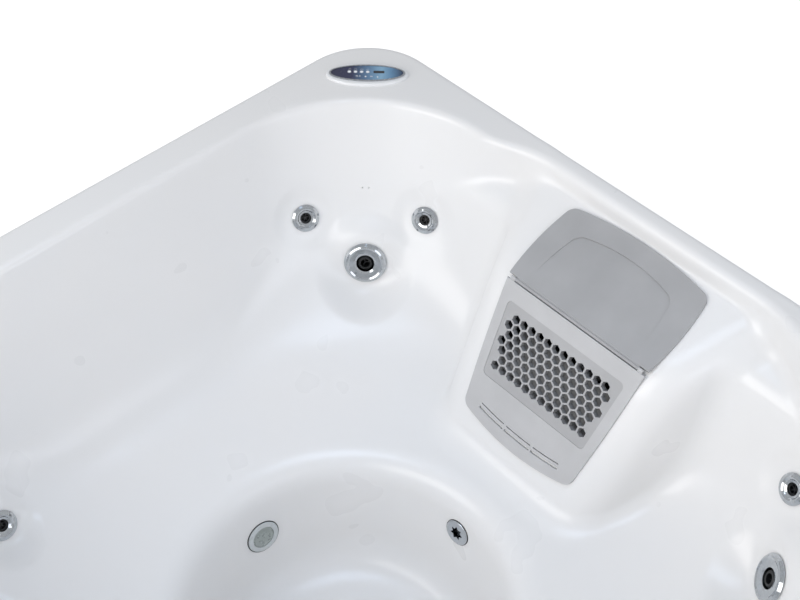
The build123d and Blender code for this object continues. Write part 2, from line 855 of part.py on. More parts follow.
# Cabinet and frame


def quarter_turns():
    """The four turns that carry a piece from the +X side to every side."""
    return [Rot(0, 0, 90 * index) for index in range(4)]


def cabinet_panel(name, turn):
    reach = corner_centre - trim_gap
    panel = block(panel_inner, panel_outer, -reach, reach, cabinet_bottom, cabinet_top)
    pitch = (cabinet_top - cabinet_bottom) / groove_count
    for index in range(1, groove_count):
        z = cabinet_bottom + pitch * index
        panel -= block(panel_outer - groove_depth, panel_outer + 1, -reach - 1, reach + 1,
                       z - groove_width / 2, z + groove_width / 2)
    for y in screw_places:
        for z in screw_heights:
            panel -= Pos(panel_inner - 1, y, z) * Rot(0, 90, 0) * disc(
                screw_shank_radius + screw_hole_clearance, 0, panel_thickness + 2)
    panel = turn * panel
    if name == "front":
        for x, radius in ((drain_x, drain_radius), (gland_x, gland_radius)):
            hole = disc(radius + screw_hole_clearance, -panel_thickness - 1, 1)
            panel -= side_frame * Pos(x, drain_height, 0) * hole
    return panel


def panel_screws():
    screws = []
    for turn in quarter_turns():
        for y in screw_places:
            for z in screw_heights:
                screw = disc(screw_shank_radius, 0, panel_thickness)
                screw += disc(screw_head_radius, panel_thickness, panel_thickness + screw_head_height)
                screws.append(turn * Pos(panel_inner, y, z) * Rot(0, 90, 0) * screw)
    return screws


def corner_trims():
    trims = []
    for turn in quarter_turns():
        quarter = ring(panel_outer - corner_centre, panel_inner - corner_centre,
                       cabinet_bottom, cabinet_top)
        quarter &= block(0, 400, 0, 400, cabinet_bottom - 1, cabinet_top + 1)
        trims.append(turn * Pos(corner_centre, corner_centre, 0) * quarter)
    return trims


def base_tray():
    radius = panel_inner - corner_centre
    tray = prism(panel_inner, radius, 0, tray_height)
    tray -= prism(rail_outer, radius - tray_wall, tray_floor, tray_height + 1)
    return tray + disc(footwell_pad_radius, tray_floor - 1, footwell_floor_height - skin)


def frame_rails():
    rails = []
    reach = rail_half_length
    for turn in quarter_turns():
        low = block(rail_inner, rail_outer, -reach, reach, tray_floor, tray_floor + rail_height)
        high = block(rail_inner, panel_inner, -reach, reach, rim_under - rail_height, rim_under)
        rails += [turn * low, turn * high]
    return rails


def frame_studs():
    low, high = tray_floor + rail_height, rim_under - rail_height
    stud = block(rail_inner, rail_outer, -stud_width / 2, stud_width / 2, low, high)
    return [turn * Pos(0, y, 0) * stud for turn in quarter_turns() for y in stud_places]


# Equipment


pump_frame = Plane(origin=(pump_x, pump_y, pump_axis_height), x_dir=(0, 1, 0), z_dir=(1, 0, 0))


def pump_wet_end():
    """Volute with its inlet on the axis and its outlet on top."""
    casing = disc(wet_end_radius, 0, wet_end_length)
    inside = disc(wet_end_radius - wet_end_wall, wet_end_wall, wet_end_length - wet_end_wall)
    casing -= inside
    inlet_end = wet_end_length + pump_inlet_length
    casing += disc(pipe_radius + 5, wet_end_length, inlet_end)
    casing -= disc(pipe_radius - 4, wet_end_length - wet_end_wall - 1, inlet_end + 1)
    casing -= disc(shaft_radius + 1, -1, wet_end_wall + 1)
    outlet = Pos(pump_outlet_side, 0, wet_end_length / 2) * Rot(-90, 0, 0) * ring(
        pipe_radius + 3, pipe_radius - 4, pump_outlet_start, pump_outlet_end)
    casing += outlet
    return pump_frame * casing


def pump_motor():
    body = disc(motor_radius - motor_fin_depth, -motor_length, 0)
    fin = block(motor_radius - motor_fin_depth - 2, motor_radius, -2, 2, -motor_length + 30, -20)
    body += [Rot(0, 0, 360 / motor_fins * (index + 0.5)) * fin for index in range(motor_fins)]
    body -= disc(shaft_radius + hinge_clearance, -motor_length + 40, 1)
    motor = pump_frame * body
    foot_x0, foot_x1 = pump_x - motor_length + 30, pump_x - 30
    foot = block(foot_x0, foot_x1, pump_y - motor_foot_width / 2, pump_y + motor_foot_width / 2,
                 tray_floor, pump_axis_height)
    hollow = block(foot_x0 - 1, foot_x1 + 1, pump_y - motor_foot_width / 2 + 8,
                   pump_y + motor_foot_width / 2 - 8, tray_floor + 8, pump_axis_height + 1)
    keep = pump_frame * disc(motor_radius - motor_fin_depth - 1, -motor_length - 1, 1)
    return motor + (foot - hollow - keep)


def pump_impeller():
    """Impeller on the motor's shaft, inside the volute."""
    start = wet_end_wall + 8
    wheel = disc(impeller_radius, start, start + 4) + disc(16, start, start + impeller_thickness)
    vane = block(12, impeller_radius - 1, -1.5, 1.5, start + 4, start + impeller_thickness)
    wheel += [Rot(0, 0, 360 / impeller_vanes * index) * vane for index in range(impeller_vanes)]
    wheel += disc(shaft_radius, -motor_length + 41, start)
    return pump_frame * wheel


def heater_tube():
    tube = Pos(heater_x - heater_length / 2, heater_y, heater_height) * Rot(0, 90, 0) * (
        disc(heater_radius, 0, heater_length)
        + disc(heater_radius + heater_collar, 0, 24)
        + disc(heater_radius + heater_collar, heater_length - 24, heater_length)
        - disc(pipe_radius, -1, heater_length + 1))
    stand = block(heater_x - 60, heater_x + 60, heater_y - 26, heater_y + 26,
                  tray_floor, heater_height)
    core = Pos(heater_x - heater_length / 2, heater_y, heater_height) * Rot(0, 90, 0) * disc(
        heater_radius - 4, -1, heater_length + 1)
    return tube + (stand - core)


def control_box():
    length, width, height = box_size
    box = Pos(box_x, box_y, tray_floor) * Box(length, width, height, align=on_base)
    box = fillet(box.edges().filter_by(Axis.Z), 10)
    lid = Pos(box_x, box_y, tray_floor + height) * Box(length + 8, width + 6, 6, align=on_base)
    return box + lid


def pipe(*points):
    """A pipe through points, with equal bends."""
    path = FilletPolyline(*points, radius=pipe_bend)
    start = Plane(origin=path @ 0, z_dir=path % 0)
    outside = sweep(start * Circle(pipe_radius), path=path)
    inside = sweep(start * Circle(pipe_radius - pipe_wall), path=path)
    return outside - inside


def behind(place, distance):
    """The point that far behind a fitting, on its axis."""
    return tuple((place * Pos(0, 0, -distance)).position)


def suction_pipe():
    inlet_x = pump_x + wet_end_length + pump_inlet_length
    cover = suction_places[0]
    return pipe((inlet_x, pump_y, pump_axis_height), (inlet_x + 85, pump_y, pump_axis_height),
                behind(cover, fitting_reach + 105), behind(cover, fitting_reach))


def heater_pipe():
    x, y = pump_x + wet_end_length / 2, pump_y + pump_outlet_side
    z = pump_axis_height + pump_outlet_end
    inlet = heater_x - heater_length / 2
    return pipe((x, y, z), (x, y, pipe_top), (inlet - 190, heater_y, pipe_top),
                (inlet - 90, heater_y, heater_height), (inlet, heater_y, heater_height))


def return_pipe():
    jet = large_jets["right"]
    x = behind(jet, large_barrel_length + 85)[0]
    outlet = heater_x + heater_length / 2
    return pipe((outlet, heater_y, heater_height), (x, heater_y, heater_height),
                behind(jet, large_barrel_length + 85), behind(jet, large_barrel_length))


def drain_valve():
    """Drain spigot through the cabinet on the -Y side, with a flange on the panel."""
    body = disc(drain_flange_radius, 0, drain_flange)
    body += disc(drain_radius, -panel_thickness - drain_tail, drain_length)
    body -= disc(drain_bore, -panel_thickness - drain_tail + drain_flange, drain_length + 1)
    return side_frame * Pos(drain_x, drain_height, 0) * body


def drain_cap():
    start, end = drain_flange + seat_clearance, drain_length + drain_cap_end
    cap = disc(drain_cap_radius, start, end)
    cap -= disc(drain_radius + spigot_clearance, start - 1, drain_length + seat_clearance)
    notch = Pos(drain_cap_radius + 1, 0, 0) * disc(2.2, start - 1, end + 1)
    cap -= [Rot(0, 0, 360 / drain_cap_grips * index) * notch for index in range(drain_cap_grips)]
    return side_frame * Pos(drain_x, drain_height, 0) * cap


def cable_gland():
    body = disc(gland_radius, -panel_thickness - 8, 0) + disc(gland_radius + 6, 0, gland_reach)
    nut = slab(RegularPolygon(gland_radius + 9, 6), -panel_thickness - 8, -panel_thickness)
    body = body + nut - disc(gland_bore, -panel_thickness - 9, gland_reach + 1)
    return side_frame * Pos(gland_x, drain_height, 0) * body


# Write every piece

write("acrylic_shell", acrylic_shell())
write("skimmer_housing", skimmer_housing())
write("skimmer_faceplate", skimmer_faceplate())
write("hex_grille", hex_grille())
write("skimmer_lid", skimmer_lid())
write("lid_hinge_pin", hinge_pin())
write("weir_flap", weir_flap())
write("filter_cartridge", filter_cartridge())

small_sizes = (small_flange_radius, small_barrel_radius, small_spigot_radius,
               small_eye_radius - nozzle_clearance, small_barrel_length)
large_sizes = (large_flange_radius, large_barrel_radius, large_spigot_radius,
               large_spigot_radius - 8, large_barrel_length)
write("small_jet_bodies", *[jet_body(place, *small_sizes) for place in small_jets.values()])
write("large_jet_bodies", *[jet_body(place, *large_sizes) for place in large_jets.values()])
write("jet_nuts", *[jet_nut(place, small_barrel_radius) for place in small_jets.values()],
      *[jet_nut(place, large_barrel_radius) for place in large_jets.values()])
write("small_jet_nozzles", *[small_nozzle(place) for place in small_jets.values()])
for name, place in small_jets.items():
    write(f"small_jet_face_{name}", jet_face(
        place, small_flange_radius, small_spigot_radius, small_eye_radius, small_face_height))
for name, place in large_jets.items():
    write(f"large_jet_face_{name}", jet_face(
        place, large_flange_radius, large_spigot_radius, large_eye_radius, large_face_height))
    write(f"large_jet_nozzle_{name}", large_nozzle(place))

write("star_jet_housing", star_jet_housing())
write("star_jet_rotor", star_jet_rotor())
write("light_housing", light_housing())
write("light_lens", light_lens())
write("suction_covers", *[suction_cover(place) for place in suction_places])

write("panel_base", panel_base())
write("panel_trim", panel_trim())
write("panel_overlay", panel_overlay())
write("panel_display", panel_display())
for name, along in button_places.items():
    write(f"button_{name}", panel_button(along))

for name, turn in zip(("right", "back", "left", "front"), quarter_turns()):
    write(f"cabinet_panel_{name}", cabinet_panel(name, turn))
write("panel_screws", *panel_screws())
write("corner_trims", *corner_trims())
write("base_tray", base_tray())
write("frame", *frame_rails(), *frame_studs())

write("pump_wet_end", pump_wet_end())
write("pump_motor", pump_motor())
write("pump_impeller", pump_impeller())
write("heater_tube", heater_tube())
write("control_box", control_box())
write("pipes", suction_pipe(), heater_pipe(), return_pipe())
write("drain_valve", drain_valve())
write("drain_cap", drain_cap())
write("cable_gland", cable_gland())
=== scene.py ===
import json
import math

import bmesh
import bpy
import numpy as np
from mathutils import Matrix, Vector


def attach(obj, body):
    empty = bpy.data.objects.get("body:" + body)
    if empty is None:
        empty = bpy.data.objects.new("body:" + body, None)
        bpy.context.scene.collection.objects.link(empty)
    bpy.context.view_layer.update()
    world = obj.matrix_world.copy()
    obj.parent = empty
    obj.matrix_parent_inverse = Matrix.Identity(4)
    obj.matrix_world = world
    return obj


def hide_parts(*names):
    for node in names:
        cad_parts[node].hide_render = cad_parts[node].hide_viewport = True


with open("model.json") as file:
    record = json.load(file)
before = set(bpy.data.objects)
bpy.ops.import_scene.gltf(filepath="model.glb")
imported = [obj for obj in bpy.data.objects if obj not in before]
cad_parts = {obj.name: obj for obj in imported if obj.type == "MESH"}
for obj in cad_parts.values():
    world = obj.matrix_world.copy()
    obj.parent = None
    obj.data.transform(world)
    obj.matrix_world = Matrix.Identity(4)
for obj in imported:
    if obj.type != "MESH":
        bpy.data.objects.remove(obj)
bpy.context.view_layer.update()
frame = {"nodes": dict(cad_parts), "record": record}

# Sizes in millimetres, in the CAD's frame: origin at the bottom centre, +Z up
RIM = 850.0
HALF = 925.0
RIM_CORNER = 180.0
SKIRT_BOTTOM = 798.0
SKIN = 6.0
SEAT = 350.0
WELL_TOP = 350.0
WELL_FLOOR = 285.0
WELL_BOTTOM = 60.0
WALL = ((0, 832, 372), (250, 752, 345), (355, 708, 385), (420, 668, 450), (465, 615, 500),
        (490, 545, 480), (500, 490, 450))
RIDGE = np.array((660.0, 0.0, 716.0))
FACE_LEAN = math.radians(30)
SHELF_SLOPE = math.radians(22.3)
NOTCH_BACK = 872.0
NOTCH_DEEP = 800.0
NOTCH_HALF = 560.0
NOTCH_CORNER = 300.0
NOTCH_SINK = 40.0
PIER_HALF = 245.0
PIER_FLARE = 0.45
PIER_DRAFT = 0.15
LID_START, LID_START_FADE = 760.0, 80.0
LID_SIDE, LID_SIDE_FADE = 230.0, 90.0
PAD_DEEP, PAD_DEEP_FADE = 50.0, 70.0
PANEL_AT = 788.42
KEYS_ALONG = (-42.0, -27.5, -13.0, 1.5)
KEY_ARC_ACROSS = 11.5
ICON_BOTTOM = 7.3
ICON_TOP = 7.5
# Height and sink of the thin black rings that paint the shadow gap round two fittings' flanges
SHADOW_RING_HEIGHT = 1.6
SHADOW_RING_SINK = 0.3
METRE = 0.001

# Jets: how far to each side of the seat's middle, depth below the rim, turn and rise in degrees
SMALL_SPREAD, SMALL_DEPTH, SMALL_TURN, SMALL_RISE = 143, 252, 24, 28
LARGE_DEPTH, LARGE_RISE = 354, 20
HIP_ALONG, HIP_DEPTH, HIP_TURN, HIP_RISE = 430, 425, 7, 30

# Widths over which two surfaces of the shell round into each other
SEAT_ROUND = 60
RIM_ROUND = 15
NOTCH_ROUND = 24
PIER_TOP_ROUND = 36
PIER_SIDE_ROUND = 56
PIER_FOOT_ROUND = 40
LID_SIDE_ROUND = 8
WELL_FLOOR_ROUND = 90
WELL_LIP_ROUND = 60
SKIRT_ROUND = 19


# Local frames

def axes(origin, x_axis, z_axis):
    """Origin and a matrix whose columns are a local frame's axes."""
    z = np.array(z_axis, float)
    z /= np.linalg.norm(z)
    x = np.array(x_axis, float)
    x -= z * (x @ z)
    x /= np.linalg.norm(x)
    return np.array(origin, float), np.stack((x, np.cross(z, x), z), axis=1)


def to_local(place, points):
    return (points - place[0]) @ place[1]


def to_world(place, points):
    return points @ place[1].T + place[0]


def looking(x, y, z, heading, rise):
    """A frame whose +Z looks along a heading in plan and up by rise, in degrees."""
    turn, up = math.radians(heading), math.radians(rise)
    out = (math.cos(turn) * math.cos(up), math.sin(turn) * math.cos(up), math.sin(up))
    return axes((x, y, z), (-math.sin(turn), math.cos(turn), 0), out)


FACE = axes(RIDGE, (0, 1, 0), (-math.cos(FACE_LEAN), 0, math.sin(FACE_LEAN)))
SHELF = axes(RIDGE, (0, 1, 0), (-math.sin(SHELF_SLOPE), 0, math.cos(SHELF_SLOPE)))
PANEL = axes((PANEL_AT, PANEL_AT, RIM), (1, -1, 0), (0, 0, 1))


def straight_size(depth):
    """Half width and corner radius of the CAD bowl at a depth."""
    depths, halves, radii = np.array(WALL).T
    return np.interp(depth, depths, halves), np.interp(depth, depths, radii)


def corner_jet(seat_angle, spread, depth, turn, rise):
    """A jet on the round wall above a corner seat."""
    half, radius = straight_size(depth)
    along = (half - radius) * math.sqrt(2) + math.sqrt(radius**2 - spread**2)
    a = math.radians(seat_angle)
    x = along * math.cos(a) - spread * math.sin(a)
    y = along * math.sin(a) + spread * math.cos(a)
    return looking(x, y, RIM - depth, seat_angle + 180 + turn, rise)


def hip_jet(swap):
    """The low jet on the bench wall, or with swap its mirrored twin on the wall next to it."""
    half, radius = straight_size(HIP_DEPTH)
    middle = half - radius
    across = middle + math.sqrt(radius**2 - (HIP_ALONG - middle)**2)
    if swap:
        return looking(-across, HIP_ALONG, RIM - HIP_DEPTH, -HIP_TURN, HIP_RISE)
    return looking(-HIP_ALONG, across, RIM - HIP_DEPTH, HIP_TURN - 90, HIP_RISE)


def well_place(depth, angle):
    """A fitting in the footwell's leaning wall."""
    slope = (WELL_TOP - WELL_FLOOR) / (SEAT - WELL_BOTTOM)
    radius = WELL_TOP - slope * (depth - (RIM - SEAT))
    a = math.radians(angle)
    rise = math.degrees(math.atan(slope))
    return looking(radius * math.cos(a), radius * math.sin(a), RIM - depth, angle + 180, rise)


SEATS = {"far": 45, "left": 135, "near": 225, "right": 315}
small_places = {}
large_places = {}
for seat, seat_angle in SEATS.items():
    small_places[seat + "_a"] = corner_jet(seat_angle, SMALL_SPREAD, SMALL_DEPTH, SMALL_TURN, SMALL_RISE)
    small_places[seat + "_b"] = corner_jet(seat_angle, -SMALL_SPREAD, SMALL_DEPTH, -SMALL_TURN, SMALL_RISE)
    large_places[seat] = corner_jet(seat_angle, 0, LARGE_DEPTH, 0, LARGE_RISE)
small_places["hip_a"] = hip_jet(False)
small_places["hip_b"] = hip_jet(True)
star_place = well_place(588, 0.5)
light_place = well_place(635, 86)
suction_places = [well_place(680, 222), well_place(680, 258)]
# Each fitting in the shell: its frame, the radius of its flat pad and of its hole, and how far it fades out
pads = [(place, 54, 41, 75) for place in large_places.values()]
pads += [(place, 36, 26, 50) for place in small_places.values()]
pads += [(star_place, 34, 24, 30), (light_place, 42.5, 32.5, 30)]
pads += [(place, 61, 51, 30) for place in suction_places]


# The shell's surface: a function that is negative in the air and positive in the shell

def soft_min(a, b, width):
    """Minimum of two distances, rounded where they cross."""
    mix = np.maximum(width - np.abs(a - b), 0) / width
    return np.minimum(a, b) - mix * mix * width / 4


def soft_max(a, b, width):
    return -soft_min(-a, -b, width)


def rounded_box(x, y, half_x, half_y, radius):
    """Distance outside a rectangle with round corners; negative inside."""
    over_x, over_y = np.abs(x) - (half_x - radius), np.abs(y) - (half_y - radius)
    outside = np.hypot(np.maximum(over_x, 0), np.maximum(over_y, 0))
    return outside + np.minimum(np.maximum(over_x, over_y), 0) - radius


def smooth_wall():
    """The wall's half width and corner radius at every millimetre of depth, without kinks."""
    depths, halves, radii = np.array(WALL, float).T
    depth = np.arange(-160.0, 660.0)
    blur = np.exp(-0.5 * (np.arange(-75, 76) / 24.0)**2)
    blur /= blur.sum()
    rows = []
    for values in (halves, radii):
        line = np.interp(depth, depths, values)
        first = (values[1] - values[0]) / (depths[1] - depths[0])
        last = (values[-1] - values[-2]) / (depths[-1] - depths[-2])
        line += np.where(depth < 0, first * depth, 0) + np.where(depth > 500, last * (depth - 500), 0)
        rows.append(np.convolve(np.pad(line, 75, mode="edge"), blur, mode="valid"))
    return depth, rows[0], rows[1], np.gradient(rows[0])


WALL_DEPTH, WALL_HALF, WALL_RADIUS, WALL_SLOPE = smooth_wall()


def smooth_step(value):
    value = np.clip(value, 0, 1)
    return value * value * (3 - 2 * value)


def pier_distance(points):
    """The skimmer's pier: its leaning face, the shelf under the lid and its two flanks."""
    x, y, z = points.T
    face = -to_local(FACE, points)[:, 2]
    shelf = -to_local(SHELF, points)[:, 2]
    half = PIER_HALF + PIER_FLARE * (x - RIDGE[0]) + PIER_DRAFT * (RIDGE[2] - z)
    flank = (half - np.abs(y)) / math.sqrt(1 + PIER_FLARE**2 + PIER_DRAFT**2)
    return soft_min(soft_min(face, shelf, PIER_TOP_ROUND), flank, PIER_SIDE_ROUND)


def notch_distance(points):
    """The space cut into the wall over the shelf, where the lid lies."""
    x, y, _ = points.T
    shelf = -to_local(SHELF, points)[:, 2]
    notch = rounded_box(x - (NOTCH_BACK - NOTCH_DEEP / 2), y, NOTCH_DEEP / 2, NOTCH_HALF, NOTCH_CORNER)
    return soft_max(notch, shelf - NOTCH_SINK, NOTCH_ROUND)


def well_distance(points):
    x, y, z = points.T
    slope = (WELL_TOP - WELL_FLOOR) / (SEAT - WELL_BOTTOM)
    well = (np.hypot(x, y) - WELL_FLOOR - (z - WELL_BOTTOM) * slope) / math.sqrt(1 + slope**2)
    return soft_max(well, WELL_BOTTOM - z, WELL_FLOOR_ROUND)


def shell_distance(points):
    x, y, z = points.T
    depth = RIM - z
    half = np.interp(depth, WALL_DEPTH, WALL_HALF)
    radius = np.minimum(np.interp(depth, WALL_DEPTH, WALL_RADIUS), half)
    slope = np.interp(depth, WALL_DEPTH, WALL_SLOPE)
    wall = rounded_box(x, y, half, half, radius) / np.sqrt(1 + slope**2)
    shell = soft_max(wall, SEAT - z, SEAT_ROUND)
    shell = soft_min(shell, RIM - z, RIM_ROUND)
    shell = soft_min(shell, notch_distance(points), NOTCH_ROUND)
    # The pier's foot is sharper beside the lid, whose corners it would cover
    beside_lid = smooth_step((x - LID_START) / LID_START_FADE)
    beside_lid *= 1 - smooth_step((np.abs(y) - LID_SIDE) / LID_SIDE_FADE)
    foot = PIER_FOOT_ROUND - (PIER_FOOT_ROUND - LID_SIDE_ROUND) * beside_lid
    shell = soft_max(shell, pier_distance(points), foot)
    shell = soft_min(shell, well_distance(points), WELL_LIP_ROUND)
    for place, pad, _, fade in pads:
        local = to_local(place, points)
        rho = np.hypot(local[:, 0], local[:, 1])
        share = 1 - smooth_step((rho - pad) / fade)
        share *= 1 - smooth_step((np.abs(local[:, 2]) - PAD_DEEP) / PAD_DEEP_FADE)
        shell = shell * (1 - share) - local[:, 2] * share
    outside = -rounded_box(x, y, HALF, HALF, RIM_CORNER)
    return soft_min(shell, outside, SKIRT_ROUND)


def into_air(points):
    """Distance and the unit direction that leads from the shell into the air."""
    step = 0.5
    here = shell_distance(points)
    slope = np.stack([shell_distance(points + step * axis) - here for axis in np.eye(3)], axis=1) / step
    steep = np.maximum(np.linalg.norm(slope, axis=1), 1e-6)
    return here / steep, -slope / steep[:, None]


# The shell's mesh: rings that start at the middle of the footwell and end at the skirt

# Half width, corner radius, height and the number of rings from the row before
PROFILE = (
    (0, 0, 60, 0), (235, 235, 60, 22), (264, 264, 68, 4), (281, 281, 90, 4), (342, 342, 315, 22),
    (350, 350, 338, 4), (366, 366, 350, 4), (490, 455, 352, 12), (545, 480, 360, 7), (615, 500, 385, 9),
    (668, 450, 430, 9), (708, 385, 495, 9), (752, 345, 600, 13), (827, 370, 836, 28), (832, 372, 845, 3),
    (842, 372, 850, 3), (906, 166, 850, 12), (912, 168, 849, 2), (919, 174, 845, 3), (923.5, 179, 840, 2),
    (925, 180, 832, 2), (925, 180, SKIRT_BOTTOM, 5))


def profile_rows():
    share = 1.0
    rows = [PROFILE[0][:3]]
    for before, after in zip(PROFILE, PROFILE[1:]):
        count = max(1, round(after[3] * share))
        for step in range(1, count + 1):
            rows.append(tuple(a + (b - a) * step / count for a, b in zip(before[:3], after[:3])))
    return np.array(rows)


def ring_grid():
    """Points of the rings, in a square grid whose rings are the profile's rows."""
    rows = profile_rows()
    count = len(rows) - 1
    i, j = np.meshgrid(np.arange(-count, count + 1), np.arange(-count, count + 1), indexing="ij")
    ring = np.maximum(np.abs(i), np.abs(j))
    half, radius, height = rows[ring].transpose(2, 0, 1)
    across = np.abs(i) >= np.abs(j)
    along = np.where(across, j, i) / np.maximum(ring, 1)
    straight = half - radius
    length = np.abs(along) * (straight + radius * math.pi / 4)
    bend = np.maximum(length - straight, 0) / np.maximum(radius, 1e-6)
    out = np.where(length > straight, straight + radius * np.cos(bend), half)
    side = np.where(length > straight, straight + radius * np.sin(bend), length) * np.sign(along)
    out = out * np.where(across, np.sign(i), np.sign(j))
    x, y = np.where(across, out, side), np.where(across, side, out)
    return np.stack((x, y, height), axis=2)


def march(points, distance):
    """Moves points that are off the surface to it, along rays from a place above the tub."""
    eye, stride = np.array((-300.0, 0.0, 1500.0)), 5.0
    ray = points - eye
    ray /= np.linalg.norm(ray, axis=1)[:, None]
    inside = distance > 0
    near, far = np.zeros(len(points)), np.zeros(len(points))
    sign = np.where(inside, -1.0, 1.0)
    todo = np.ones(len(points), bool)
    for step in range(1, 120):
        reach = sign * step * stride
        now = shell_distance(points + ray * reach[:, None])
        crossed = todo & ((now > 0) != inside)
        near = np.where(todo & ~crossed, reach, near)
        far = np.where(crossed, reach, far)
        todo &= ~crossed
    far = np.where(todo, 0.0, far)
    near = np.where(todo, 0.0, near)
    for _ in range(12):
        middle = (near + far) / 2
        same = (shell_distance(points + ray * middle[:, None]) > 0) == inside
        near, far = np.where(same, middle, near), np.where(same, far, middle)
    return points + ray * far[:, None]


def dilate(mask, times):
    for _ in range(times):
        grown = mask.copy()
        grown[1:] |= mask[:-1]
        grown[:-1] |= mask[1:]
        grown[:, 1:] |= mask[:, :-1]
        grown[:, :-1] |= mask[:, 1:]
        mask = grown
    return mask


def settle(grid, times, project_every):
    """Spreads the points evenly where the pier and notch moved them, and keeps them on the surface."""
    size = grid.shape[0]
    flat = grid.reshape(-1, 3)
    distance = shell_distance(flat)
    off = np.abs(distance) > 1.5
    flat[off] = march(flat[off], distance[off])
    free = dilate(off.reshape(size, size), 7)
    free[:2] = free[-2:] = False
    free[:, :2] = free[:, -2:] = False
    where = np.flatnonzero(free)
    for turn in range(times):
        moved = (flat[where - 1] + flat[where + 1] + flat[where - size] + flat[where + size]) / 4
        flat[where] = moved
        if turn % project_every == 0:
            distance, out = into_air(moved)
            flat[where] = moved + out * np.clip(distance, -20, 20)[:, None]
    for _ in range(3):
        distance, out = into_air(flat)
        flat += out * np.clip(distance, -8, 8)[:, None]
    return flat


def circle_hole(radius):
    def edge(local):
        rho = np.hypot(local[:, 0], local[:, 1])
        return rho - radius, local[:, :2] / np.maximum(rho, 1e-6)[:, None]
    return edge


def window_hole(corners):
    """A hole with straight edges, from its corners in order."""
    corners = np.array(corners, float)
    ahead = np.roll(corners, -1, axis=0) - corners
    ahead /= np.linalg.norm(ahead, axis=1)[:, None]
    normals = np.stack((ahead[:, 1], -ahead[:, 0]), axis=1)

    def edge(local):
        over = local[:, None, :2] - corners
        distances = (over * normals).sum(axis=2)
        worst = distances.argmax(axis=1)
        return distances.max(axis=1), normals[worst]
    return edge


HOLES = [(place, circle_hole(hole)) for place, _, hole, _ in pads]
HOLES.append((FACE, window_hole(((-179, 31), (179, 31), (159, 241), (-159, 241)))))
HOLES.append((SHELF, window_hole(((-150, -174), (150, -174), (150, -24), (-150, -24)))))
CUT_REACH = 30


def cut_holes(points, faces):
    """Leaves out the faces inside each hole, and brings the hole's border to its outline."""
    for place, edge in HOLES:
        local = to_local(place, points)
        near = np.abs(local[:, 2]) < CUT_REACH
        distance, normal = edge(local)
        inside = near & (distance < -1.0)
        dropped = inside[faces].any(axis=1)
        touched = np.zeros(len(points), bool)
        touched[faces[dropped].ravel()] = True
        faces = faces[~dropped]
        kept = np.zeros(len(points), bool)
        kept[faces.ravel()] = True
        border = touched & kept
        local[border, :2] -= normal[border] * distance[border, None]
        points[border] = to_world(place, local[border])
    return points, faces


def open_edges(faces):
    """Edges that only one face has, in that face's direction."""
    edges = np.concatenate([faces[:, (k, (k + 1) % 4)] for k in range(4)])
    ordered = np.sort(edges, axis=1)
    _, first, counts = np.unique(ordered, axis=0, return_index=True, return_counts=True)
    return edges[first[counts == 1]]


def shell_mesh():
    grid = ring_grid()
    size = grid.shape[0]
    points = settle(grid, 360, 4)
    number = np.arange(size * size).reshape(size, size)
    faces = np.stack((number[:-1, :-1], number[1:, :-1], number[1:, 1:], number[:-1, 1:]), axis=2)
    points, faces = cut_holes(points, faces.reshape(-1, 4))
    used, faces = np.unique(faces, return_inverse=True)
    points, faces = points[used], faces.reshape(-1, 4)
    _, out = into_air(points)
    behind = points - out * SKIN
    behind[:, 2] = np.maximum(behind[:, 2], WELL_BOTTOM - SKIN)
    rim = open_edges(faces)
    count = len(points)
    strip = np.stack((rim[:, 1], rim[:, 0], rim[:, 0] + count, rim[:, 1] + count), axis=1)
    every = np.concatenate((faces, faces[:, ::-1] + count, strip))
    return np.concatenate((points, behind)), every, np.concatenate((out, -out))


def make_piece(name, points, faces, body, nodes, normals=None):
    """A mesh piece, from points in millimetres, that rides on a body and stands for CAD nodes."""
    mesh = bpy.data.meshes.new(name)
    if isinstance(faces, np.ndarray):
        faces = faces.tolist()
    mesh.from_pydata((np.asarray(points) * METRE).tolist(), [], faces)
    mesh.validate()
    for polygon in mesh.polygons:
        polygon.use_smooth = True
    if normals is not None:
        mesh.normals_split_custom_set_from_vertices(normals.tolist())
    piece = bpy.data.objects.new(name, mesh)
    bpy.context.scene.collection.objects.link(piece)
    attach(piece, body)
    if nodes:
        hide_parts(*nodes)
    return piece


shell_points, shell_faces, shell_normals = shell_mesh()
shell = make_piece("tub_shell", shell_points, shell_faces, "tub", ["acrylic_shell"],
                   shell_normals)


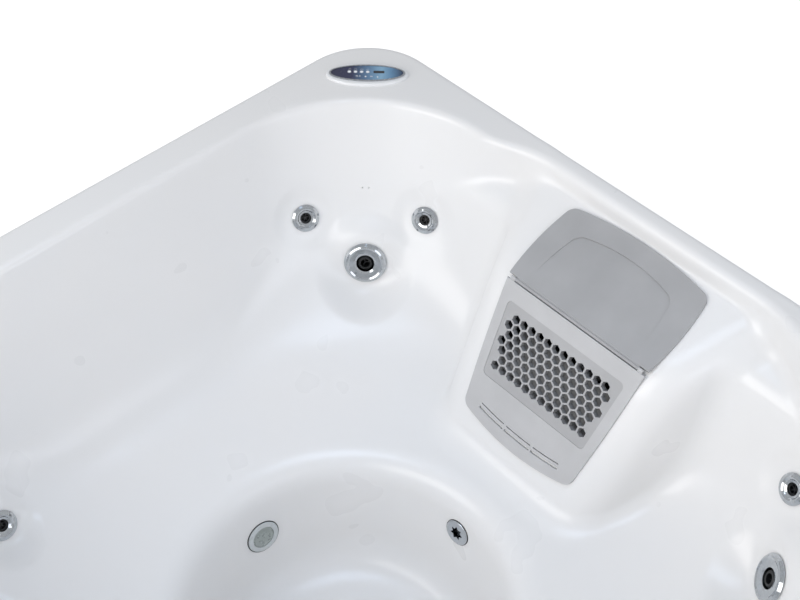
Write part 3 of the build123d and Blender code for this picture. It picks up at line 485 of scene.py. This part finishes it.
def panel_icons():
    """Printed signs under the keys and round the window: rings, arrows and drops."""
    points, faces = [], []

    def sign(x, y, outline):
        first = len(points)
        count = len(outline)
        for height in (ICON_BOTTOM, ICON_TOP):
            points.extend((x + u, y + v, height) for u, v in outline)
        faces.append(tuple(range(first + count, first + 2 * count)))
        faces.append(tuple(range(first + count - 1, first - 1, -1)))
        for k in range(count):
            nxt = (k + 1) % count
            faces.append((first + k, first + nxt, first + count + nxt, first + count + k))

    def arc(radius, start, end, width, steps=14):
        turns = [math.radians(start + (end - start) * k / steps) for k in range(steps + 1)]
        outer = [(radius * math.cos(t), radius * math.sin(t)) for t in turns]
        short = radius - width
        inner = [(short * math.cos(t), short * math.sin(t)) for t in reversed(turns)]
        return outer + inner

    sign(-23.3, -12.6, arc(2.6, -60, 240, 0.8))
    sign(-23.3, -12.6, [(-0.5, 0.2), (0.5, 0.2), (0.5, 3.2), (-0.5, 3.2)])
    sign(-16.3, -11.6, [(-2.2, -1.8), (2.2, -1.8), (0.0, 2.2)])
    sign(-2.7, -13.8, [(-1.8, -2.2), (1.8, -2.2), (1.8, -1.3), (2.4, 0.6), (1.4, 2.6), (-1.4, 2.6),
                       (-2.4, 0.6), (-1.8, -1.3)])
    sign(11.0, -13.9, arc(3.0, 20, 160, 0.9))
    sign(11.0, -16.3, arc(3.0, 20, 160, 0.9))
    sign(25.9, -15.0, [(-0.7, -3.0), (0.7, -3.0), (0.7, 0.0), (2.4, 0.0), (0.0, 3.0), (-2.4, 0.0),
                       (-0.7, 0.0)])
    for x in KEYS_ALONG:
        sign(x, KEY_ARC_ACROSS, arc(3.4, 0, 180, 0.5))
    return to_world(PANEL, np.array(points)), faces


icon_points, icon_faces = panel_icons()
icons = make_piece("panel_icons", icon_points, icon_faces, "tub", [])


def shadow_gap_rings(rows):
    """Thin black rubber rings round a fitting's flange: painted shade that draws the dark shadow gap there
    as a line.
    """
    points, faces = [], []
    count, top = 72, SHADOW_RING_HEIGHT
    for place, inner, outer in rows:
        first = len(points)
        section = ((inner, -SHADOW_RING_SINK), (outer, -SHADOW_RING_SINK), (outer - 0.2, top), (inner, top))
        for k in range(count):
            turn = 2 * math.pi * k / count
            local = np.array([(r * math.cos(turn), r * math.sin(turn), h) for r, h in section])
            points.extend(to_world(place, local))
        for k in range(count):
            a, b = first + 4 * k, first + 4 * ((k + 1) % count)
            faces.extend((a + j, b + j, b + (j + 1) % 4, a + (j + 1) % 4) for j in range(4))
    return np.array(points), faces


# Black rings round the light and the star jet: painted shade for the dark shadow gap round their flanges
shadow_gap_ring_points, shadow_gap_ring_faces = shadow_gap_rings(((light_place, 39.6, 41.6), (star_place, 31.1, 32.4)))
shadow_gap_ring_piece = make_piece("fitting_shadow_gap_rings", shadow_gap_ring_points, shadow_gap_ring_faces, "tub", [])


# Materials

def tint(code):
    """Linear colour of an sRGB hex code."""
    parts = [int(code[k:k + 2], 16) / 255 for k in (1, 3, 5)]
    return tuple(c / 12.92 if c <= 0.04045 else ((c + 0.055) / 1.055)**2.4 for c in parts) + (1.0,)


def add(tree, kind, settings=None, values=None, links=None):
    """Adds a node with its settings, its sockets' values and the sockets it takes from."""
    node = tree.nodes.new(kind)
    for key, value in (settings or {}).items():
        setattr(node, key, value)
    for key, value in (values or {}).items():
        node.inputs[key].default_value = value
    for key, source in (links or {}).items():
        tree.links.new(source, node.inputs[key])
    return node


def new_material(name):
    material = bpy.data.materials.new(name)
    material.use_nodes = True
    material.node_tree.nodes.clear()
    return material, material.node_tree


def finish_material(tree, values, links):
    shader = add(tree, "ShaderNodeBsdfPrincipled", None, values, links)
    add(tree, "ShaderNodeOutputMaterial", None, None, {"Surface": shader.outputs["BSDF"]})


def place_of(tree, scale=(1.0, 1.0, 1.0), turn=0.0):
    """Object position in metres, stretched by scale and turned about Z."""
    coords = add(tree, "ShaderNodeTexCoord")
    mapping = add(tree, "ShaderNodeMapping", {"vector_type": "POINT"},
                  {"Scale": scale, "Rotation": (0.0, 0.0, turn)}, {"Vector": coords.outputs["Object"]})
    return mapping.outputs["Vector"]


def noise(tree, size, detail=2.0, position=None):
    """Noise whose patches are about size metres across."""
    links = {"Vector": position or place_of(tree)}
    values = {"Scale": 1.0 / size, "Detail": detail}
    return add(tree, "ShaderNodeTexNoise", None, values, links).outputs["Fac"]


def spread(tree, value, low, high):
    """Brings a noise value of about 0.3 to 0.7 to the range from low to high."""
    values = {"From Min": 0.3, "From Max": 0.7, "To Min": low, "To Max": high}
    return add(tree, "ShaderNodeMapRange", None, values, {"Value": value}).outputs["Result"]


def mixed(tree, share, first, second):
    ramp = add(tree, "ShaderNodeMix", {"data_type": "RGBA"}, {6: tint(first), 7: tint(second)}, {0: share})
    return ramp.outputs[2]


def bumped(tree, height, depth, before=None):
    """A normal bent by a height field that is depth metres deep."""
    links = {"Height": height}
    if before is not None:
        links["Normal"] = before
    return add(tree, "ShaderNodeBump", None, {"Strength": 1.0, "Distance": depth}, links).outputs["Normal"]


def moulded(name, dark, light, rough, grain, grain_depth, ior=1.5):
    """Moulded plastic: faint cloudy colour, and a fine grain that breaks the shine."""
    material, tree = new_material(name)
    cloud = spread(tree, noise(tree, 0.09, 3.0), 0.0, 1.0)
    fine = noise(tree, grain, 2.0)
    normal = bumped(tree, fine, grain_depth)
    roughness = spread(tree, noise(tree, 0.03, 3.0), rough - 0.04, rough + 0.04)
    finish_material(tree, {"IOR": ior}, {"Base Color": mixed(tree, cloud, dark, light),
                                         "Roughness": roughness, "Normal": normal})
    return material


def shiny_metal(name, dark, light, rough, stretch=(1.0, 1.0, 1.0), size=0.004, depth=0.000004):
    """Metal: faint streaks in its colour and shine."""
    material, tree = new_material(name)
    streak = noise(tree, size, 3.0, place_of(tree, stretch))
    finish_material(tree, {"Metallic": 1.0}, {
        "Base Color": mixed(tree, spread(tree, streak, 0.0, 1.0), dark, light),
        "Roughness": spread(tree, streak, rough * 0.7, rough * 1.3),
        "Normal": bumped(tree, streak, depth)})
    return material


def acrylic():
    """Vacuum formed acrylic sheet: a soft shine under a thin clear gloss, with very faint waviness."""
    material, tree = new_material("vacuum_formed_acrylic")
    cloud = spread(tree, noise(tree, 0.35, 2.0), 0.0, 1.0)
    wave = noise(tree, 0.045, 1.0)
    peel = noise(tree, 0.0022, 1.0)
    normal = bumped(tree, peel, 0.000002, bumped(tree, wave, 0.00003))
    finish_material(tree, {"IOR": 1.49, "Coat Weight": 0.2, "Coat Roughness": 0.05},
                    {"Base Color": mixed(tree, cloud, "#EAEAEA", "#ECEBEA"),
                     "Roughness": spread(tree, noise(tree, 0.15, 2.0), 0.27, 0.31), "Normal": normal})
    return material


def overlay_print():
    """Printed polyester film: navy fading to light blue, darker again at the far tip."""
    material, tree = new_material("printed_polyester_overlay")
    turned = place_of(tree, turn=math.radians(45))
    along = add(tree, "ShaderNodeSeparateXYZ", None, None, {"Vector": turned}).outputs["X"]
    share = add(tree, "ShaderNodeMapRange", None, {"From Min": -0.09, "From Max": 0.09}, {"Value": along})
    cloud = noise(tree, 0.02, 2.0)
    share = add(tree, "ShaderNodeMath", {"operation": "MULTIPLY_ADD"}, {1: 0.06},
                {0: cloud, 2: share.outputs["Result"]}).outputs[0]
    ramp = add(tree, "ShaderNodeValToRGB", None, None, {"Fac": share})
    stops = ((0.0, "#1E1F3D"), (0.33, "#252A4E"), (0.55, "#5C7EA0"), (0.72, "#86AFCB"), (0.85, "#5E8AAE"),
             (1.0, "#1D2B4A"))
    bands = ramp.color_ramp.elements
    bands[0].position, bands[0].color = stops[0][0], tint(stops[0][1])
    bands[1].position, bands[1].color = stops[-1][0], tint(stops[-1][1])
    for position, code in stops[1:-1]:
        bands.new(position).color = tint(code)
    finish_material(tree, {"IOR": 1.57}, {
        "Base Color": ramp.outputs["Color"], "Roughness": spread(tree, noise(tree, 0.004), 0.18, 0.28),
        "Normal": bumped(tree, noise(tree, 0.0006), 0.000004)})
    return material


def frosted_lens():
    """Clear polycarbonate with a frosted inside: grey green, softly see-through."""
    material, tree = new_material("frosted_polycarbonate")
    cells = add(tree, "ShaderNodeTexVoronoi", None, {"Scale": 420.0}, {"Vector": place_of(tree)})
    finish_material(tree, {"IOR": 1.58, "Transmission Weight": 0.25}, {
        "Base Color": mixed(tree, spread(tree, noise(tree, 0.03), 0.0, 1.0), "#A3ACA8", "#B4BCB8"),
        "Roughness": spread(tree, noise(tree, 0.01), 0.25, 0.35),
        "Normal": bumped(tree, cells.outputs["Distance"], 0.0002)})
    return material


def cabinet_board():
    """Synthetic cabinet board: brushed grain along each board."""
    material, tree = new_material("wood_grain_polymer")
    grain = noise(tree, 0.004, 5.0, place_of(tree, (0.05, 0.05, 1.0)))
    share = spread(tree, grain, 0.0, 1.0)
    finish_material(tree, {"IOR": 1.5}, {
        "Base Color": mixed(tree, share, "#5F6063", "#77787B"),
        "Roughness": spread(tree, grain, 0.5, 0.62), "Normal": bumped(tree, grain, 0.00025)})
    return material


def pleated_fabric():
    """Spun polyester filter fabric: matt white with fine fibres."""
    material, tree = new_material("spun_polyester_fabric")
    fibres = noise(tree, 0.0007, 4.0, place_of(tree, (1.0, 1.0, 0.3)))
    finish_material(tree, {"IOR": 1.45, "Sheen Weight": 0.3}, {
        "Base Color": mixed(tree, spread(tree, fibres, 0.0, 1.0), "#D9DCDC", "#F0F1F1"),
        "Roughness": spread(tree, fibres, 0.85, 0.95), "Normal": bumped(tree, fibres, 0.0003)})
    return material


def dark_glass():
    """Display window: dark glass over a liquid crystal panel."""
    material, tree = new_material("display_glass")
    finish_material(tree, {"IOR": 1.5, "Coat Weight": 0.5}, {
        "Base Color": mixed(tree, spread(tree, noise(tree, 0.005), 0.0, 1.0), "#10151D", "#161D27"),
        "Roughness": spread(tree, noise(tree, 0.003), 0.08, 0.14)})
    return material


MATERIALS = {
    "shell_acrylic": acrylic(),
    "skimmer_grey": moulded("grey_moulded_abs", "#B8B8B9", "#C0C0C1", 0.42, 0.0007, 0.00002),
    "grille_grey": moulded("grille_moulded_abs", "#A6A6A7", "#AFAFB0", 0.45, 0.0007, 0.00002),
    "housing_dark": moulded("dark_grey_housing_abs", "#2E2F31", "#38393B", 0.5, 0.001, 0.00003),
    "ring_pale": moulded("pale_ring_abs", "#C3C8C9", "#CFD3D4", 0.3, 0.0007, 0.00001),
    "inner_plastic": moulded("off_white_pvc", "#D5D7D8", "#E0E1E1", 0.4, 0.001, 0.00003),
    "black_plastic": moulded("black_moulded_abs", "#101112", "#1A1B1C", 0.38, 0.0007, 0.00002),
    "chrome": shiny_metal("chrome_plating", "#B9BDC1", "#C6CACD", 0.09),
    "filter_fabric": pleated_fabric(),
    "lens": frosted_lens(),
    "panel_white": moulded("white_gloss_abs", "#E6E7E9", "#EEEFF0", 0.2, 0.0012, 0.000006),
    "panel_silver": shiny_metal("silver_painted_trim", "#A9ACB1", "#B9BCC0", 0.25),
    "overlay_blue": overlay_print(),
    "display_dark": dark_glass(),
    "key_white": moulded("white_silicone_keys", "#E4E8EE", "#F2F4F7", 0.5, 0.0005, 0.00001, 1.43),
    "cabinet_grey": cabinet_board(),
    "tray_black": moulded("black_polyethylene_tray", "#151617", "#222325", 0.55, 0.0015, 0.00006),
    "frame_steel": shiny_metal("galvanised_steel", "#8D9297", "#B2B7BB", 0.4, size=0.012, depth=0.00001),
    "screw_steel": shiny_metal("stainless_screws", "#A8A9AB", "#BBBCBE", 0.25, size=0.001),
    "motor_paint": moulded("motor_enamel", "#23272C", "#2E3339", 0.35, 0.0012, 0.00003),
    "heater_steel": shiny_metal("brushed_heater_steel", "#A5A6A8", "#C0C1C3", 0.22, (0.05, 1.0, 1.0),
                                0.0015),
    "pipe_white": moulded("pvc_pipe", "#DADCDD", "#E6E7E7", 0.35, 0.002, 0.00001, 1.53),
}


def dress(piece, material):
    piece.data.materials.clear()
    piece.data.materials.append(material)


# The lid's finish is a little darker than the face's
NODE_MATERIALS = {
    "skimmer_lid": moulded("grey_lid_abs", "#A2A2A3", "#AAAAAB", 0.42, 0.0007, 0.00002)}
SLOTS = {row["node"]: row["material_slot"] for row in frame["record"]["subparts"]}
for name, node in frame["nodes"].items():
    for index in range(len(node.material_slots)):
        node.material_slots[index].material = NODE_MATERIALS.get(name, MATERIALS[SLOTS[name]])
dress(shell, MATERIALS["shell_acrylic"])
dress(icons, MATERIALS["key_white"])
# Black plastic on the rings round the fittings, which paint the shadow gap there
dress(shadow_gap_ring_piece, MATERIALS["black_plastic"])


# Floor, light and camera

def floor_material():
    """Pale studio paint. To the camera it glows a little, so that it reads white and keeps its shadow."""
    material, tree = new_material("studio_floor_paint")
    cloud = spread(tree, noise(tree, 0.6, 3.0), 0.0, 1.0)
    ray = add(tree, "ShaderNodeLightPath").outputs["Is Camera Ray"]
    glow = add(tree, "ShaderNodeMath", {"operation": "MULTIPLY"}, {1: 0.5}, {0: ray}).outputs[0]
    finish_material(tree, {"Roughness": 0.9, "Emission Color": (1.0, 1.0, 1.0, 1.0)}, {
        "Base Color": mixed(tree, cloud, "#FAFAFA", "#FFFFFF"), "Emission Strength": glow})
    return material


def make_floor():
    mesh = bpy.data.meshes.new("studio_floor")
    made = bmesh.new()
    bmesh.ops.create_grid(made, x_segments=8, y_segments=8, size=9.0)
    made.to_mesh(mesh)
    made.free()
    floor = bpy.data.objects.new("studio_floor", mesh)
    bpy.context.scene.collection.objects.link(floor)
    dress(floor, floor_material())


def area_light(name, place, target, size, power, code="#FFFFFF", beam=180):
    data = bpy.data.lights.new(name, "AREA")
    data.spread = math.radians(beam)
    data.shape = "RECTANGLE"
    data.size, data.size_y = size
    data.energy = power
    data.color = tint(code)[:3]
    lamp = bpy.data.objects.new(name, data)
    lamp.location = place
    lamp.rotation_euler = (Vector(target) - Vector(place)).to_track_quat("-Z", "Y").to_euler()
    bpy.context.scene.collection.objects.link(lamp)


def make_world():
    """Soft white room, and plain white where the camera sees past the floor."""
    world = bpy.data.worlds.new("studio")
    world.use_nodes = True
    bpy.context.scene.world = world
    tree = world.node_tree
    tree.nodes.clear()
    coords = add(tree, "ShaderNodeTexCoord")
    height = add(tree, "ShaderNodeSeparateXYZ", None, None, {"Vector": coords.outputs["Generated"]})
    share = add(tree, "ShaderNodeMapRange", None, {"From Min": -0.1, "From Max": 0.9},
                {"Value": height.outputs["Z"]})
    room = mixed(tree, share.outputs["Result"], "#FFFFFF", "#EAEDF1")
    ray = add(tree, "ShaderNodeLightPath").outputs["Is Camera Ray"]
    colour = add(tree, "ShaderNodeMix", {"data_type": "RGBA"}, {7: (1.0, 1.0, 1.0, 1.0)}, {0: ray, 6: room})
    strength = add(tree, "ShaderNodeMix", {"data_type": "FLOAT"}, {2: 0.66, 3: 1.0}, {0: ray})
    back = add(tree, "ShaderNodeBackground", None, None,
               {"Color": colour.outputs[2], "Strength": strength.outputs[0]})
    add(tree, "ShaderNodeOutputWorld", None, None, {"Surface": back.outputs["Background"]})


def make_camera():
    """The photograph's view, solved from the rim's edges and the skimmer."""
    data = bpy.data.cameras.new("photo_view")
    data.sensor_width = 36.0
    data.lens = 57.79
    data.clip_end = 100.0
    camera = bpy.data.objects.new("photo_view", data)
    right, up = (0.73119, -0.68211, -0.00910), (0.50878, 0.53642, 0.67334)
    ahead = (0.45439, 0.49699, -0.73927)
    camera.matrix_world = Matrix((
        (right[0], up[0], -ahead[0], -0.8044),
        (right[1], up[1], -ahead[1], -1.0582),
        (right[2], up[2], -ahead[2], 2.7361),
        (0.0, 0.0, 0.0, 1.0)))
    bpy.context.scene.collection.objects.link(camera)
    bpy.context.scene.camera = camera


make_floor()
make_world()
area_light("key", (-3.6, 0.3, 2.6), (0.5, 0.1, 0.55), (3.6, 3.0), 100, "#FFFCF9")
area_light("top", (0.0, 0.0, 3.4), (0.001, 0.0, 0.4), (1.2, 1.2), 2.2, "#CFE3FF", 60)
area_light("fill", (0.2, -3.8, 2.2), (0.2, 0.4, 0.6), (2.8, 1.8), 26, "#EEF3FF")
make_camera()
bpy.context.scene.view_settings.view_transform = "Standard"
